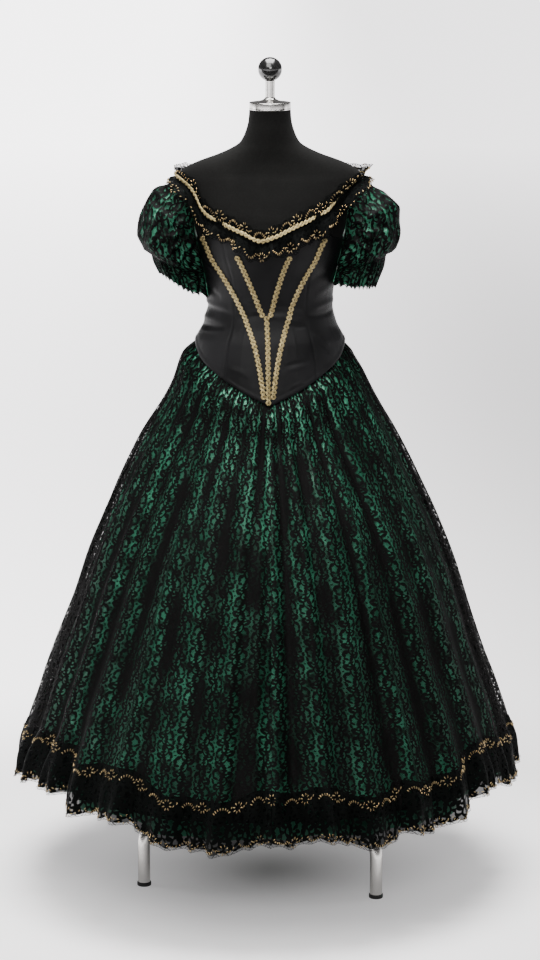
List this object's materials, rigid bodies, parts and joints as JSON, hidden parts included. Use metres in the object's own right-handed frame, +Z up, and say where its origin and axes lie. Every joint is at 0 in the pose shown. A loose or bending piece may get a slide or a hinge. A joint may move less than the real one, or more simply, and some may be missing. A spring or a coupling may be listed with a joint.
{
  "type": "ball gown on a dress form",
  "caption": "Off-the-shoulder ball gown with pointed bodice, puff sleeves and full gathered skirt, worn by a limbless dress form on a three-legged stand.",
  "frame": {"origin": "centre of the stand on the floor, under the body's axis", "axes": "+Z up; the gown's front faces -Y; the wearer's left is +X"},
  "size_m": [1.0488, 1.0499, 1.6892],
  "materials": {
    "black_jersey": "matt knitted cover",
    "black_satin": "satin sheen",
    "green_satin": "satin sheen",
    "black_lace": "matt corded lace",
    "lace_on_satin": "black lace mounted on green satin",
    "gold_braid": "metallic thread gimp",
    "chrome": "polished",
    "black_rubber": "matt",
    "black_knob": "gloss"
  },
  "bodies": {
    "root": {"form_torso": "black_jersey", "neck_cap": "chrome", "neck_post": "chrome", "ball_knob": "black_knob", "stand_pole": "chrome", "stand_hub": "chrome", "leg_1": "chrome", "foot_1": "black_rubber", "leg_2": "chrome", "foot_2": "black_rubber", "leg_3": "chrome", "foot_3": "black_rubber", "bodice_front": "black_satin", "bodice_side_left": "black_satin", "bodice_side_right": "black_satin", "bodice_back_left": "black_satin", "bodice_back_right": "black_satin", "braid_outer_left": "gold_braid", "braid_inner_left": "gold_braid", "braid_outer_right": "gold_braid", "braid_inner_right": "gold_braid", "braid_centre": "gold_braid", "sleeve_left": "lace_on_satin", "sleeve_right": "lace_on_satin", "neck_frill": "black_lace", "neck_braid": "gold_braid", "bertha_flounce": "black_lace", "skirt_satin": "green_satin", "skirt_lace": "black_lace", "hem_flounce": "black_lace"}
  },
  "joints": []
}
